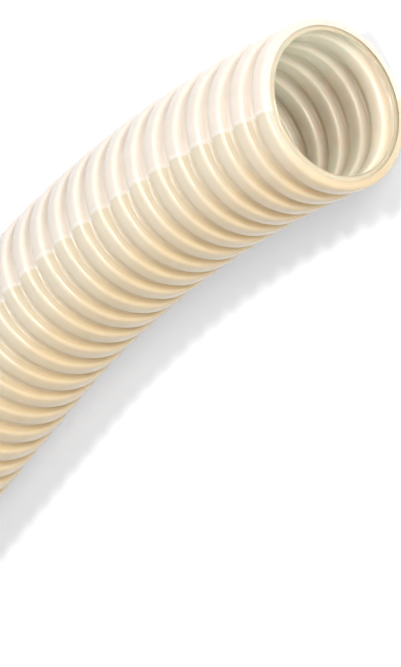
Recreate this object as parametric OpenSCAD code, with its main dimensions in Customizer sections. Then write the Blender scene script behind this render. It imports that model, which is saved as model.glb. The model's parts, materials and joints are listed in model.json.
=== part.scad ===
/* [Section] */
// Outside diameter over the crests of the waves
crest_od = 60.3; // [54:0.1:75]
// Clear bore diameter inside the valleys
bore_d = 50.4; // [34:0.1:51]
// Thickness of the wall, the same all along a wave
wall = 0.9; // [0.7:0.05:1.2]

/* [Waves] */
// Length of one wave, from crest to crest
pitch = 12.2; // [11.5:0.1:16]
// Length of a crest over its two flanks
crest_length = 7; // [6:0.1:7.6]
// Outside radius of a crest's two shoulders
shoulder_r = 1.6; // [1.4:0.1:2.2]
// Bevel at the root of a flank, on the outside and the inside of the wall
root_bevel = 0.6; // [0.3:0.1:0.8]

/* [Length and lie] */
// Length of stock; it is cut square beside the crest nearest to it
stock_length = 610; // [560:10:1500]
// Crests at each end that lie straight
end_crests = 2; // [2:1:4]
// Waves of the bend behind each end, kept from the reel
bend_waves = 16; // [6:1:20]
// Radius that the bends' centreline lies at
bend_r = 600; // [450:10:2000]

/* [Hidden] */
ivory = "#EFE3CB";
// Sides on a full turn and on a shoulder's small round
round_sides = 96;
shoulder_sides = 48;

// Radii of the four round faces of a wave
crest_r = crest_od / 2;
bore_r = bore_d / 2;
crest_inner_r = crest_r - wall;
valley_outer_r = bore_r + wall;
// Inside its own wall a crest is a groove, and the valley beside it is a land
groove_length = crest_length - 2 * wall;
valley_gap = pitch - crest_length;
land_gap = pitch - groove_length;

// The stock begins and ends with a whole crest, cut off at the crest's outer flank
crests = round((stock_length + valley_gap) / pitch);
last_step = (crests - 1) / 2;
bend_end = last_step - end_crests + 1;
bend_start = bend_end - bend_waves;
step_angle = pitch / bend_r * 180 / PI;

// Where the mouth lies as seen from the middle of the tube
end_turn = bend_waves * step_angle;
end_length = (end_crests - 1) * pitch + crest_length / 2;
mouth_x = bend_start * pitch + bend_r * sin(end_turn) + end_length * cos(end_turn);
mouth_y = -bend_r * (1 - cos(end_turn)) - end_length * sin(end_turn);

// One half of a solid disc's section, with its outer corner rounded
module disc_half(radius, length, corner) {
    flat = length / 2 - corner;
    square([radius - corner, length / 2]);
    square([radius, flat]);
    intersection() {
        translate([radius - corner, flat]) circle(corner, $fn = shoulder_sides);
        translate([radius - corner, 0]) square([corner, length / 2]);
    }
}

// A solid disc with both corners rounded, for a crest or the groove inside it
module disc(radius, length, corner) {
    rotate_extrude($fn = round_sides) {
        disc_half(radius, length, corner);
        mirror([0, 1]) disc_half(radius, length, corner);
    }
}

// A spool that joins two discs across the gap between their flanks.
// Its ends flare at 45 degrees and run on into the discs, which leaves a bevel at each root.
module spool(radius, gap) {
    neck = gap / 2 - root_bevel;
    flare = 2 * root_bevel;
    rotate_extrude($fn = round_sides) polygon([
        [0, -neck - flare], [radius + flare, -neck - flare], [radius, -neck],
        [radius, neck], [radius + flare, neck + flare], [0, neck + flare]
    ]);
}

// Places children on the centreline, so many steps of one pitch from the tube's middle.
// It lies straight along x there, bends towards -y on both sides, and ends straight.
// The end on the +x side is the mouth, whose cut face is centred on the origin.
module along(step) {
    side = sign(step);
    straight = min(abs(step), bend_start) * pitch;
    turned = min(max(abs(step), bend_start) - bend_start, bend_waves) * step_angle;
    beyond = (max(abs(step), bend_end) - bend_end) * pitch;
    translate([side * (straight + bend_r * sin(turned)), -bend_r * (1 - cos(turned)), 0])
        translate([-mouth_x, -mouth_y, 0]) rotate([0, 0, -side * turned])
            translate([side * beyond, 0, 0]) rotate([0, 90, 0]) children();
}

// The corrugated wall: discs joined by spools, less the smaller discs and spools of its inside
module conduit() {
    color(ivory) difference() {
        union() {
            for (i = [-last_step : last_step]) along(i) disc(crest_r, crest_length, shoulder_r);
            for (i = [0.5 - last_step : last_step - 0.5]) along(i) spool(valley_outer_r, valley_gap);
        }
        for (i = [-last_step : last_step])
            along(i) disc(crest_inner_r, groove_length, shoulder_r - wall);
        for (i = [-0.5 - last_step : last_step + 0.5]) along(i) spool(bore_r, land_gap);
    }
}

conduit();
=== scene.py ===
import json
import math

import bpy
from mathutils import Matrix, Vector


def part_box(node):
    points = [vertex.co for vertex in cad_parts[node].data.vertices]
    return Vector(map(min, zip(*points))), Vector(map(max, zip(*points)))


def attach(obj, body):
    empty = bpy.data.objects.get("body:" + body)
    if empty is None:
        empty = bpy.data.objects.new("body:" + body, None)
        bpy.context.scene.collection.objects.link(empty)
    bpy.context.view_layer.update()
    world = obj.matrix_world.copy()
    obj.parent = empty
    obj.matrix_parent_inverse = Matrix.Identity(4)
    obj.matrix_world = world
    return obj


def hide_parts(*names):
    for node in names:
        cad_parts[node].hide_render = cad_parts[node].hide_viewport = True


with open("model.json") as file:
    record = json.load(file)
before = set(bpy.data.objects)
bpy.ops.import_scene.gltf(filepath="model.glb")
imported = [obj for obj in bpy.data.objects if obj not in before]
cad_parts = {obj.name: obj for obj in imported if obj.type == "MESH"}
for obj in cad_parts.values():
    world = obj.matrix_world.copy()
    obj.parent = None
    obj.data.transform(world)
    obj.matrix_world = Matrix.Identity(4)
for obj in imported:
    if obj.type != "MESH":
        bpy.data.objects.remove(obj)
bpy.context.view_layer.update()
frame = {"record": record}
mounts = {mount["name"]: mount for mount in frame["record"]["mounts"]}
MM = 0.001

# ---------------------------------------------------------------- camera
# It looks at the mouth and along the first half of the tube, from 40 degrees above the floor,
# with a long lens, and is rolled so that the tube runs from corner to corner of the picture.
mouth = Vector(mounts["mouth_bore"]["pos_m"])
mouth_axis = Vector(mounts["mouth_bore"]["axis"])
mouth_turn = math.atan2(mouth_axis.y, mouth_axis.x)
from_mouth = Matrix.Translation(mouth) @ Matrix.Rotation(mouth_turn, 4, "Z")

CAMERA_PLACE = Vector((1.3561, -0.1580, 1.2315))
CAMERA_AIM = Vector((-0.1050, -0.0528, 0.0))
CAMERA_ROLL = math.radians(-106.9)
LENS_MM = 298.9
FILM_WIDTH_MM = 36
SEES_UP_TO = 20

bpy.ops.object.camera_add(location=from_mouth @ CAMERA_PLACE)
camera = bpy.context.object
camera.name = "camera"
look = (from_mouth @ CAMERA_AIM) - camera.location
level = look.to_track_quat("-Z", "Y").to_matrix().to_4x4()
roll = Matrix.Rotation(CAMERA_ROLL, 4, "Z")
camera.matrix_world = Matrix.Translation(camera.location) @ level @ roll
camera.data.lens = LENS_MM
camera.data.sensor_width = FILM_WIDTH_MM
camera.data.clip_end = SEES_UP_TO
bpy.context.scene.camera = camera

# ---------------------------------------------------------------- ivory plastic
# The tube is one natural, unpainted plastic: glossy from the mould and a little translucent.
# One half, on the lamps' side of the parting line, is painted paler: painted light, with its
# edge on the parting line. The other half is painted shade, peach by the parting line and
# deeper tan away from the lamps.
SKIN_PEACH = (0.780, 0.690, 0.535, 1)
TAN_PAINTED_SHADE = (0.775, 0.630, 0.410, 1)
PALE_HALF_PAINTED_LIGHT = (0.840, 0.760, 0.670, 1)
# The inside is painted lighter and more golden than the skin: painted light in the bore.
INSIDE_GOLD_PAINTED_LIGHTER = (0.990, 0.870, 0.630, 1)
CUT_FACE = (0.780, 0.690, 0.560, 1)
FLASH_WHITE = (0.890, 0.830, 0.750, 1)
SKIN_DEPTH_MM = (0.9, 0.9, 0.9)
INSIDE_DEPTH_MM = (3.0, 4.2, 4.6)
# Across from the parting line: where the painted shade is full, and where it is gone.
PAINTED_SHADE_FULL_UNTIL = -28 * MM
PAINTED_SHADE_GONE_FROM = -8 * MM
HALVES_MEET_WITHIN = 0.4 * MM
FLASH_FADES_FROM = 0.5 * MM
FLASH_FADES_TO = 1.0 * MM
STREAKS_PER_METRE = (25, 160, 160)
FAINTEST_STREAK = 0.965
BRIGHTEST_STREAK = 1.02
PEEL_PER_METRE = 420
PEEL_STRENGTH = 0.12
PEEL_HEIGHT = 0.15 * MM
PARTING = math.radians(7.5)
parting_normal = Vector((0, math.cos(PARTING), -math.sin(PARTING)))


def add_node(tree, kind, **settings):
    """Adds a shader node and sets its properties, then hands it back to be linked."""
    node = tree.nodes.new(kind)
    for name, value in settings.items():
        setattr(node, name, value)
    return node


def plastic(name, painted_shade_colour, high_colour, painted_light_half_colour, roughness, coat, whitening, depth):
    """Makes one finish of the plastic, with its flow streaks, slight orange peel and whitened
    flash, a ramp of painted shade on one half and painted light on the other.
    """
    material = bpy.data.materials.new(name)
    material.use_nodes = True
    tree = material.node_tree
    shader = tree.nodes["Principled BSDF"]
    shader.inputs["Roughness"].default_value = roughness
    shader.inputs["IOR"].default_value = 1.5
    shader.inputs["Coat Weight"].default_value = coat
    shader.inputs["Coat Roughness"].default_value = 0.05
    shader.inputs["Subsurface Weight"].default_value = 1.0
    shader.inputs["Subsurface Radius"].default_value = depth
    shader.inputs["Subsurface Scale"].default_value = MM

    unbent = add_node(tree, "ShaderNodeAttribute", attribute_name="unbent")
    side = add_node(tree, "ShaderNodeVectorMath", operation="DOT_PRODUCT")
    side.inputs[1].default_value = parting_normal
    tree.links.new(unbent.outputs["Vector"], side.inputs[0])
    # Painted shade: the skin turns from peach by the parting line to deeper tan away from the
    # lamps.
    rise = add_node(tree, "ShaderNodeMapRange", interpolation_type="SMOOTHSTEP")
    rise.inputs["From Min"].default_value = PAINTED_SHADE_FULL_UNTIL
    rise.inputs["From Max"].default_value = PAINTED_SHADE_GONE_FROM
    tree.links.new(side.outputs["Value"], rise.inputs["Value"])
    painted_shade_ramp = add_node(tree, "ShaderNodeMix", data_type="RGBA")
    painted_shade_ramp.inputs["A"].default_value = painted_shade_colour
    painted_shade_ramp.inputs["B"].default_value = high_colour
    tree.links.new(rise.outputs["Result"], painted_shade_ramp.inputs["Factor"])
    # Painted light: the half on the lamps' side of the parting line is painted paler.
    half = add_node(tree, "ShaderNodeMapRange")
    half.inputs["From Min"].default_value = -HALVES_MEET_WITHIN
    half.inputs["From Max"].default_value = HALVES_MEET_WITHIN
    tree.links.new(side.outputs["Value"], half.inputs["Value"])
    halves = add_node(tree, "ShaderNodeMix", data_type="RGBA")
    halves.inputs["B"].default_value = painted_light_half_colour
    tree.links.new(painted_shade_ramp.outputs["Result"], halves.inputs["A"])
    tree.links.new(half.outputs["Result"], halves.inputs["Factor"])

    edge = add_node(tree, "ShaderNodeMath", operation="ABSOLUTE")
    tree.links.new(side.outputs["Value"], edge.inputs[0])
    flash = add_node(tree, "ShaderNodeMapRange")
    flash.inputs["From Min"].default_value = FLASH_FADES_TO
    flash.inputs["From Max"].default_value = FLASH_FADES_FROM
    flash.inputs["To Max"].default_value = whitening
    tree.links.new(edge.outputs["Value"], flash.inputs["Value"])
    whitened = add_node(tree, "ShaderNodeMix", data_type="RGBA")
    whitened.inputs["B"].default_value = FLASH_WHITE
    tree.links.new(flash.outputs["Result"], whitened.inputs["Factor"])
    tree.links.new(halves.outputs["Result"], whitened.inputs["A"])

    stretch = add_node(tree, "ShaderNodeMapping")
    stretch.inputs["Scale"].default_value = STREAKS_PER_METRE
    tree.links.new(unbent.outputs["Vector"], stretch.inputs["Vector"])
    streaks = add_node(tree, "ShaderNodeTexNoise")
    streaks.inputs["Scale"].default_value = 1.0
    streaks.inputs["Detail"].default_value = 3.0
    tree.links.new(stretch.outputs["Vector"], streaks.inputs["Vector"])
    flow = add_node(tree, "ShaderNodeMapRange")
    flow.inputs["From Min"].default_value = 0.3
    flow.inputs["From Max"].default_value = 0.7
    flow.inputs["To Min"].default_value = FAINTEST_STREAK
    flow.inputs["To Max"].default_value = BRIGHTEST_STREAK
    tree.links.new(streaks.outputs["Fac"], flow.inputs["Value"])
    streaked = add_node(tree, "ShaderNodeVectorMath", operation="SCALE")
    tree.links.new(whitened.outputs["Result"], streaked.inputs[0])
    tree.links.new(flow.outputs["Result"], streaked.inputs["Scale"])
    tree.links.new(streaked.outputs["Vector"], shader.inputs["Base Color"])

    peel = add_node(tree, "ShaderNodeTexNoise")
    peel.inputs["Scale"].default_value = PEEL_PER_METRE
    peel.inputs["Detail"].default_value = 2.0
    tree.links.new(unbent.outputs["Vector"], peel.inputs["Vector"])
    bump = add_node(tree, "ShaderNodeBump")
    bump.inputs["Strength"].default_value = PEEL_STRENGTH
    bump.inputs["Distance"].default_value = PEEL_HEIGHT
    tree.links.new(peel.outputs["Fac"], bump.inputs["Height"])
    tree.links.new(bump.outputs["Normal"], shader.inputs["Normal"])
    return material


moulded_skin = plastic(
    "moulded_ivory_skin", TAN_PAINTED_SHADE, SKIN_PEACH, PALE_HALF_PAINTED_LIGHT,
    roughness=0.32, coat=0.5, whitening=0.8, depth=SKIN_DEPTH_MM,
)
# Its colour is painted lighter, as painted light in the bore.
inside_painted_lighter = plastic(
    "ivory_inside_painted_lighter", INSIDE_GOLD_PAINTED_LIGHTER, INSIDE_GOLD_PAINTED_LIGHTER, INSIDE_GOLD_PAINTED_LIGHTER,
    roughness=0.30, coat=0.3, whitening=0.0, depth=INSIDE_DEPTH_MM,
)
knife_cut = plastic(
    "knife_cut_ivory", CUT_FACE, CUT_FACE, CUT_FACE,
    roughness=0.45, coat=0.1, whitening=0.0, depth=SKIN_DEPTH_MM,
)

# ---------------------------------------------------------------- one wave of the wall
# The tube is extruded as a plain pipe and blown into the travelling halves of a corrugator,
# which give it rings of one wave length each. A wave is modelled once, from the middle of one
# valley to the middle of the next: the outside skin first, and then the inside skin within it.
WAVE = 12.2 * MM
CREST_RADIUS = 30.13 * MM
CREST_EDGE_RADIUS = 30.0 * MM
VALLEY_RADIUS = 26.1 * MM
BORE_RADIUS = 25.2 * MM
GROOVE_RADIUS = 29.25 * MM
ROOT_TO_ROOT = 6.76 * MM
SHOULDER_TO_SHOULDER = 6.44 * MM
LAND_TO_LAND = 5.5 * MM
GROOVE_CORNERS = 4.9 * MM
SHOULDER_ROUND = 1.3 * MM
ROOT_ROUND = 1.5 * MM
GROOVE_ROUND = 1.5 * MM
LAND_ROUND = 0.9 * MM
ROUND_STEPS = 92
INSIDE_SLOT = 1
CUT_SLOT = 2
FLASH_HALF_WIDTH = 0.75 * MM
FLASH_RAISE = 1.0083
crest = WAVE / 2
roots = (crest - ROOT_TO_ROOT / 2, crest + ROOT_TO_ROOT / 2)
shoulders = (crest - SHOULDER_TO_SHOULDER / 2, crest + SHOULDER_TO_SHOULDER / 2)
lands = (crest - LAND_TO_LAND / 2, crest + LAND_TO_LAND / 2)
grooves = (crest - GROOVE_CORNERS / 2, crest + GROOVE_CORNERS / 2)


def pull_ring(before, place, radius):
    """Extrudes the selected ring to another place along the tube, at another radius."""
    step = place - before[0]
    grow = radius / before[1]
    bpy.ops.mesh.extrude_region_move(TRANSFORM_OT_translate={"value": (step, 0, 0)})
    bpy.ops.transform.resize(value=(1, grow, grow), center_override=(place, 0, 0))
    return place, radius


def add_skin(start_radius, corners):
    """Adds a ring in the middle of a valley and pulls it over the crest to the next valley."""
    bpy.ops.mesh.select_all(action="DESELECT")
    bpy.ops.mesh.primitive_circle_add(
        vertices=ROUND_STEPS, radius=start_radius, rotation=(0, math.pi / 2, 0)
    )
    ring = (0.0, start_radius)
    for place, radius in corners:
        ring = pull_ring(ring, place, radius)


def select_rings(mesh, places, radius=None, close=0.02 * MM):
    """Selects the rings of edges that lie at these places along x, and at this radius."""
    bpy.ops.mesh.select_all(action="DESELECT")
    bpy.ops.object.mode_set(mode="OBJECT")
    for edge in mesh.edges:
        ends = [mesh.vertices[i].co for i in edge.vertices]
        edge.select = abs(ends[0].x - ends[1].x) < close and all(
            min(abs(end.x - place) for place in places) < close
            and (radius is None or abs(math.hypot(end.y, end.z) - radius) < close)
            for end in ends
        )
    bpy.ops.object.mode_set(mode="EDIT")


bpy.ops.object.select_all(action="DESELECT")
bpy.ops.mesh.primitive_circle_add(vertices=ROUND_STEPS, radius=VALLEY_RADIUS)
tube = bpy.context.object
tube.name = "conduit_mouth_half"
for finish in (moulded_skin, inside_painted_lighter, knife_cut):
    tube.data.materials.append(finish)
bpy.ops.object.mode_set(mode="EDIT")
bpy.ops.mesh.select_mode(type="EDGE")
bpy.ops.mesh.delete(type="EDGE")
add_skin(VALLEY_RADIUS, (
    (roots[0], VALLEY_RADIUS), (shoulders[0], CREST_EDGE_RADIUS), (crest, CREST_RADIUS),
    (shoulders[1], CREST_EDGE_RADIUS), (roots[1], VALLEY_RADIUS), (WAVE, VALLEY_RADIUS),
))
select_rings(tube.data, shoulders, CREST_EDGE_RADIUS)
bpy.ops.mesh.bevel(offset=SHOULDER_ROUND, segments=5, affect="EDGES")
select_rings(tube.data, roots, VALLEY_RADIUS)
bpy.ops.mesh.bevel(offset=ROOT_ROUND, segments=4, affect="EDGES")

# The halves of the mould leave a fine raised line of flash along both sides of the tube.
for offset in (-FLASH_HALF_WIDTH, FLASH_HALF_WIDTH, 0):
    bpy.ops.mesh.select_all(action="SELECT")
    bpy.ops.mesh.bisect(plane_co=parting_normal * offset, plane_no=parting_normal)
bpy.ops.transform.resize(value=(1, FLASH_RAISE, FLASH_RAISE), center_override=(0, 0, 0))

bpy.ops.object.mode_set(mode="OBJECT")
outside_faces = len(tube.data.polygons)
bpy.ops.object.mode_set(mode="EDIT")
add_skin(BORE_RADIUS, (
    (lands[0], BORE_RADIUS), (grooves[0], GROOVE_RADIUS), (grooves[1], GROOVE_RADIUS),
    (lands[1], BORE_RADIUS), (WAVE, BORE_RADIUS),
))
bpy.ops.object.mode_set(mode="OBJECT")
for face in tube.data.polygons[outside_faces:]:
    face.material_index = INSIDE_SLOT
bpy.ops.object.mode_set(mode="EDIT")
select_rings(tube.data, grooves, GROOVE_RADIUS)
bpy.ops.mesh.bevel(offset=GROOVE_ROUND, segments=3, affect="EDGES")
select_rings(tube.data, lands, BORE_RADIUS)
bpy.ops.mesh.bevel(offset=LAND_ROUND, segments=3, affect="EDGES")
bpy.ops.object.mode_set(mode="OBJECT")

# ---------------------------------------------------------------- the length of tube
# Half of the piece is 25 waves, cut square with a knife just clear of the last crest. The
# tube keeps a bend from the reel behind each end, and is straight in the middle.
WAVES_IN_HALF = 25
CREST_LENGTH = 7 * MM
WAVES_BEFORE_BEND = 7.5
WAVES_IN_BEND = 16
CUT_EDGE = 0.22 * MM
SAME_PLACE = 0.01 * MM
SMOOTH_UP_TO = math.radians(40)
cut_place = (WAVES_IN_HALF - 0.5) * WAVE + CREST_LENGTH / 2
bend_start = WAVES_BEFORE_BEND * WAVE
bend_length = WAVES_IN_BEND * WAVE

row = tube.modifiers.new("row of waves", "ARRAY")
row.count = WAVES_IN_HALF
row.use_relative_offset = False
row.use_constant_offset = True
row.constant_offset_displace = (WAVE, 0, 0)
row.use_merge_vertices = True
row.merge_threshold = SAME_PLACE
bpy.ops.object.modifier_apply(modifier=row.name)

bpy.ops.object.mode_set(mode="EDIT")
bpy.ops.mesh.select_all(action="SELECT")
bpy.ops.mesh.bisect(plane_co=(cut_place, 0, 0), plane_no=(1, 0, 0), clear_outer=True)

# The two skins are to be joined at the cut and in the middle. Known faults: at the cut the
# rings aren't found, so no end face or broken edge is made. In the middle the bridge pairs
# its rings in opposite directions, so faces cross the bore and the inside skin faces wrongly.
for end in (cut_place, 0):
    select_rings(tube.data, (end,))
    bpy.ops.mesh.bridge_edge_loops()
    tube.active_material_index = CUT_SLOT
    bpy.ops.object.material_slot_assign()
select_rings(tube.data, (cut_place,), BORE_RADIUS, 0.1 * MM)
bpy.ops.mesh.bevel(offset=CUT_EDGE, segments=2, affect="EDGES")
bpy.ops.mesh.select_all(action="SELECT")
bpy.ops.mesh.normals_make_consistent(inside=False)
bpy.ops.object.mode_set(mode="OBJECT")
bpy.ops.object.shade_smooth_by_angle(angle=SMOOTH_UP_TO)


def keep_unbent_place(piece):
    """Stores where each point lies on the straight tube, for the pattern of the plastic and for
    its painted shade and painted light.
    """
    places = [value for vertex in piece.data.vertices for value in vertex.co]
    stored = piece.data.attributes.new("unbent", "FLOAT_VECTOR", "POINT")
    stored.data.foreach_set("vector", places)


bpy.ops.object.duplicate()
far_half = bpy.context.object
far_half.name = "conduit_far_half"
bpy.ops.object.mode_set(mode="EDIT")
bpy.ops.mesh.select_all(action="SELECT")
bpy.ops.transform.resize(value=(-1, 1, 1), center_override=(0, 0, 0))
bpy.ops.mesh.normals_make_consistent(inside=False)
bpy.ops.object.mode_set(mode="OBJECT")

far_end = Vector(mounts["far_end_bore"]["pos_m"])
end_length = cut_place - bend_start - bend_length
bend_radius = bend_length / abs(mouth_turn)
rise = bend_radius * (1 - math.cos(mouth_turn)) - end_length * math.sin(mouth_turn)
middle = (mouth + far_end) / 2 + Vector((0, rise, 0))
for piece, side in ((tube, 1), (far_half, -1)):
    keep_unbent_place(piece)
    bpy.ops.object.select_all(action="DESELECT")
    piece.select_set(True)
    bpy.context.view_layer.objects.active = piece
    bpy.ops.object.mode_set(mode="EDIT")
    bpy.ops.mesh.select_all(action="SELECT")
    bpy.ops.transform.translate(value=(-side * bend_start, 0, 0))
    bpy.ops.object.mode_set(mode="OBJECT")
    bend = piece.modifiers.new("bend from the reel", "SIMPLE_DEFORM")
    bend.deform_method = "BEND"
    bend.deform_axis = "Z"
    bend.angle = mouth_turn
    start = bend_start / cut_place
    stop = (bend_start + bend_length) / cut_place
    bend.limits = (start, stop) if side > 0 else (1 - stop, 1 - start)
    bpy.ops.object.modifier_apply(modifier=bend.name)
    bpy.ops.object.mode_set(mode="EDIT")
    bpy.ops.mesh.select_all(action="SELECT")
    bpy.ops.transform.translate(value=middle + Vector((side * bend_start, 0, 0)))
    bpy.ops.object.mode_set(mode="OBJECT")
    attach(piece, "root")
    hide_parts("conduit")

# ---------------------------------------------------------------- floor, lamps and surroundings
# The tube lies on a plain white floor in a white room. A soft lamp almost overhead throws its
# shadow, a wide one in front lights the mouth, and a small one draws the glints on the crests.
FLOOR_WIDTH = 12
FLOOR_WHITE = (0.9, 0.9, 0.9, 1)
FLOOR_GLOW = 0.32
GLOW_BLUE = (0.78, 0.86, 1.0, 1)
ROOM_WHITE = (1.0, 1.0, 1.0, 1)
ROOM_STRENGTH = 0.30
LAMP_AIM = (-0.1, 0, 0)


def straight_rays(tree):
    """Gives 1 where a surface is seen by the camera, in a gloss or through something clear."""
    path = add_node(tree, "ShaderNodeLightPath")
    glossy = add_node(tree, "ShaderNodeMath", operation="ADD")
    clear = add_node(tree, "ShaderNodeMath", operation="ADD", use_clamp=True)
    tree.links.new(path.outputs["Is Camera Ray"], glossy.inputs[0])
    tree.links.new(path.outputs["Is Glossy Ray"], glossy.inputs[1])
    tree.links.new(glossy.outputs["Value"], clear.inputs[0])
    tree.links.new(path.outputs["Is Transmission Ray"], clear.inputs[1])
    return clear.outputs["Value"]


low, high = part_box("conduit")
bpy.ops.mesh.primitive_plane_add(size=FLOOR_WIDTH, location=(mouth.x, mouth.y, low[2]))
floor = bpy.context.object
floor.name = "floor"
white = bpy.data.materials.new("white_floor")
white.use_nodes = True
tree = white.node_tree
tree.nodes.clear()
surface = add_node(tree, "ShaderNodeOutputMaterial")
paint = add_node(tree, "ShaderNodeBsdfDiffuse")
paint.inputs["Color"].default_value = FLOOR_WHITE
glow = add_node(tree, "ShaderNodeEmission")
glow.inputs["Color"].default_value = GLOW_BLUE
seen = add_node(tree, "ShaderNodeMath", operation="MULTIPLY")
seen.inputs[1].default_value = FLOOR_GLOW
tree.links.new(straight_rays(tree), seen.inputs[0])
mixed = add_node(tree, "ShaderNodeAddShader")
tree.links.new(seen.outputs["Value"], glow.inputs["Strength"])
tree.links.new(paint.outputs["BSDF"], mixed.inputs[0])
tree.links.new(glow.outputs["Emission"], mixed.inputs[1])
tree.links.new(mixed.outputs["Shader"], surface.inputs["Surface"])
floor.data.materials.append(white)

world = bpy.data.worlds.new("white_room")
bpy.context.scene.world = world
world.use_nodes = True
room = world.node_tree
room_light = room.nodes["Background"]
room_light.inputs["Color"].default_value = ROOM_WHITE
room_light.inputs["Strength"].default_value = ROOM_STRENGTH
room_seen = add_node(room, "ShaderNodeBackground")
room_seen.inputs["Color"].default_value = ROOM_WHITE
room_mix = add_node(room, "ShaderNodeMixShader")
room.links.new(straight_rays(room), room_mix.inputs["Fac"])
room.links.new(room_light.outputs["Background"], room_mix.inputs[1])
room.links.new(room_seen.outputs["Background"], room_mix.inputs[2])
room.links.new(room_mix.outputs["Shader"], room.nodes["World Output"].inputs["Surface"])


def add_lamp(name, place, aim, size, power):
    """Hangs a rectangular soft lamp in the mouth's frame and points it at a place there."""
    bpy.ops.object.light_add(type="AREA", location=from_mouth @ Vector(place))
    lamp = bpy.context.object
    lamp.name = name
    lamp.data.shape = "RECTANGLE"
    lamp.data.size, lamp.data.size_y = size
    lamp.data.energy = power
    toward = (from_mouth @ Vector(aim)) - lamp.location
    lamp.rotation_euler = toward.to_track_quat("-Z", "Y").to_euler()


add_lamp("overhead_lamp", (0.6, 0.72, 2.4), LAMP_AIM, (0.4, 0.4), 34)
add_lamp("front_lamp", (2.5, 0.1, 1.35), LAMP_AIM, (1.0, 1.0), 48)
add_lamp("small_lamp", (1.6, 1.1, 1.9), LAMP_AIM, (0.08, 0.08), 4)

scene = bpy.context.scene
scene.view_settings.view_transform = "Standard"
